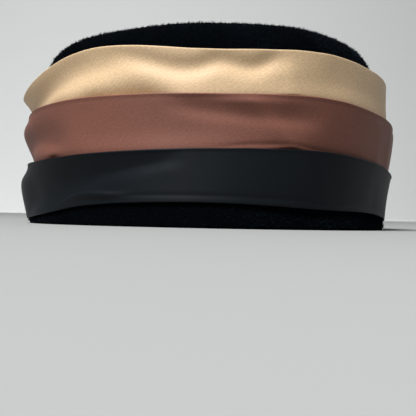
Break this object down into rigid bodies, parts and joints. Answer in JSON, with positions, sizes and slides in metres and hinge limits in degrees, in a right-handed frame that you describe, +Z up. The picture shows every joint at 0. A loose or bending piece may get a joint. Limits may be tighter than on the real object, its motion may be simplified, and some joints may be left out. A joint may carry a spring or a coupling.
{
  "type": "pillbox hat",
  "caption": "Oval felt pillbox hat with a nearly flat top and tiered folded satin bands in gold, brown and black, hollow and open at the rim.",
  "frame": {"origin": "centre of the hat's box, in the plane of the rim that it rests on", "axes": "+Z up through the crown, -Y to the front of the hat, +X to the right of someone facing its front"},
  "size_m": [0.1916, 0.2029, 0.098],
  "materials": {
    "black_felt": "brushed velour felt, matt",
    "gold_satin": "satin weave, soft sheen",
    "brown_satin": "satin weave, soft sheen",
    "black_satin": "satin weave, soft sheen"
  },
  "bodies": {
    "root": {"felt_crown": "black_felt", "satin_band_gold": "gold_satin", "satin_band_brown": "brown_satin", "satin_band_black": "black_satin"}
  },
  "joints": []
}
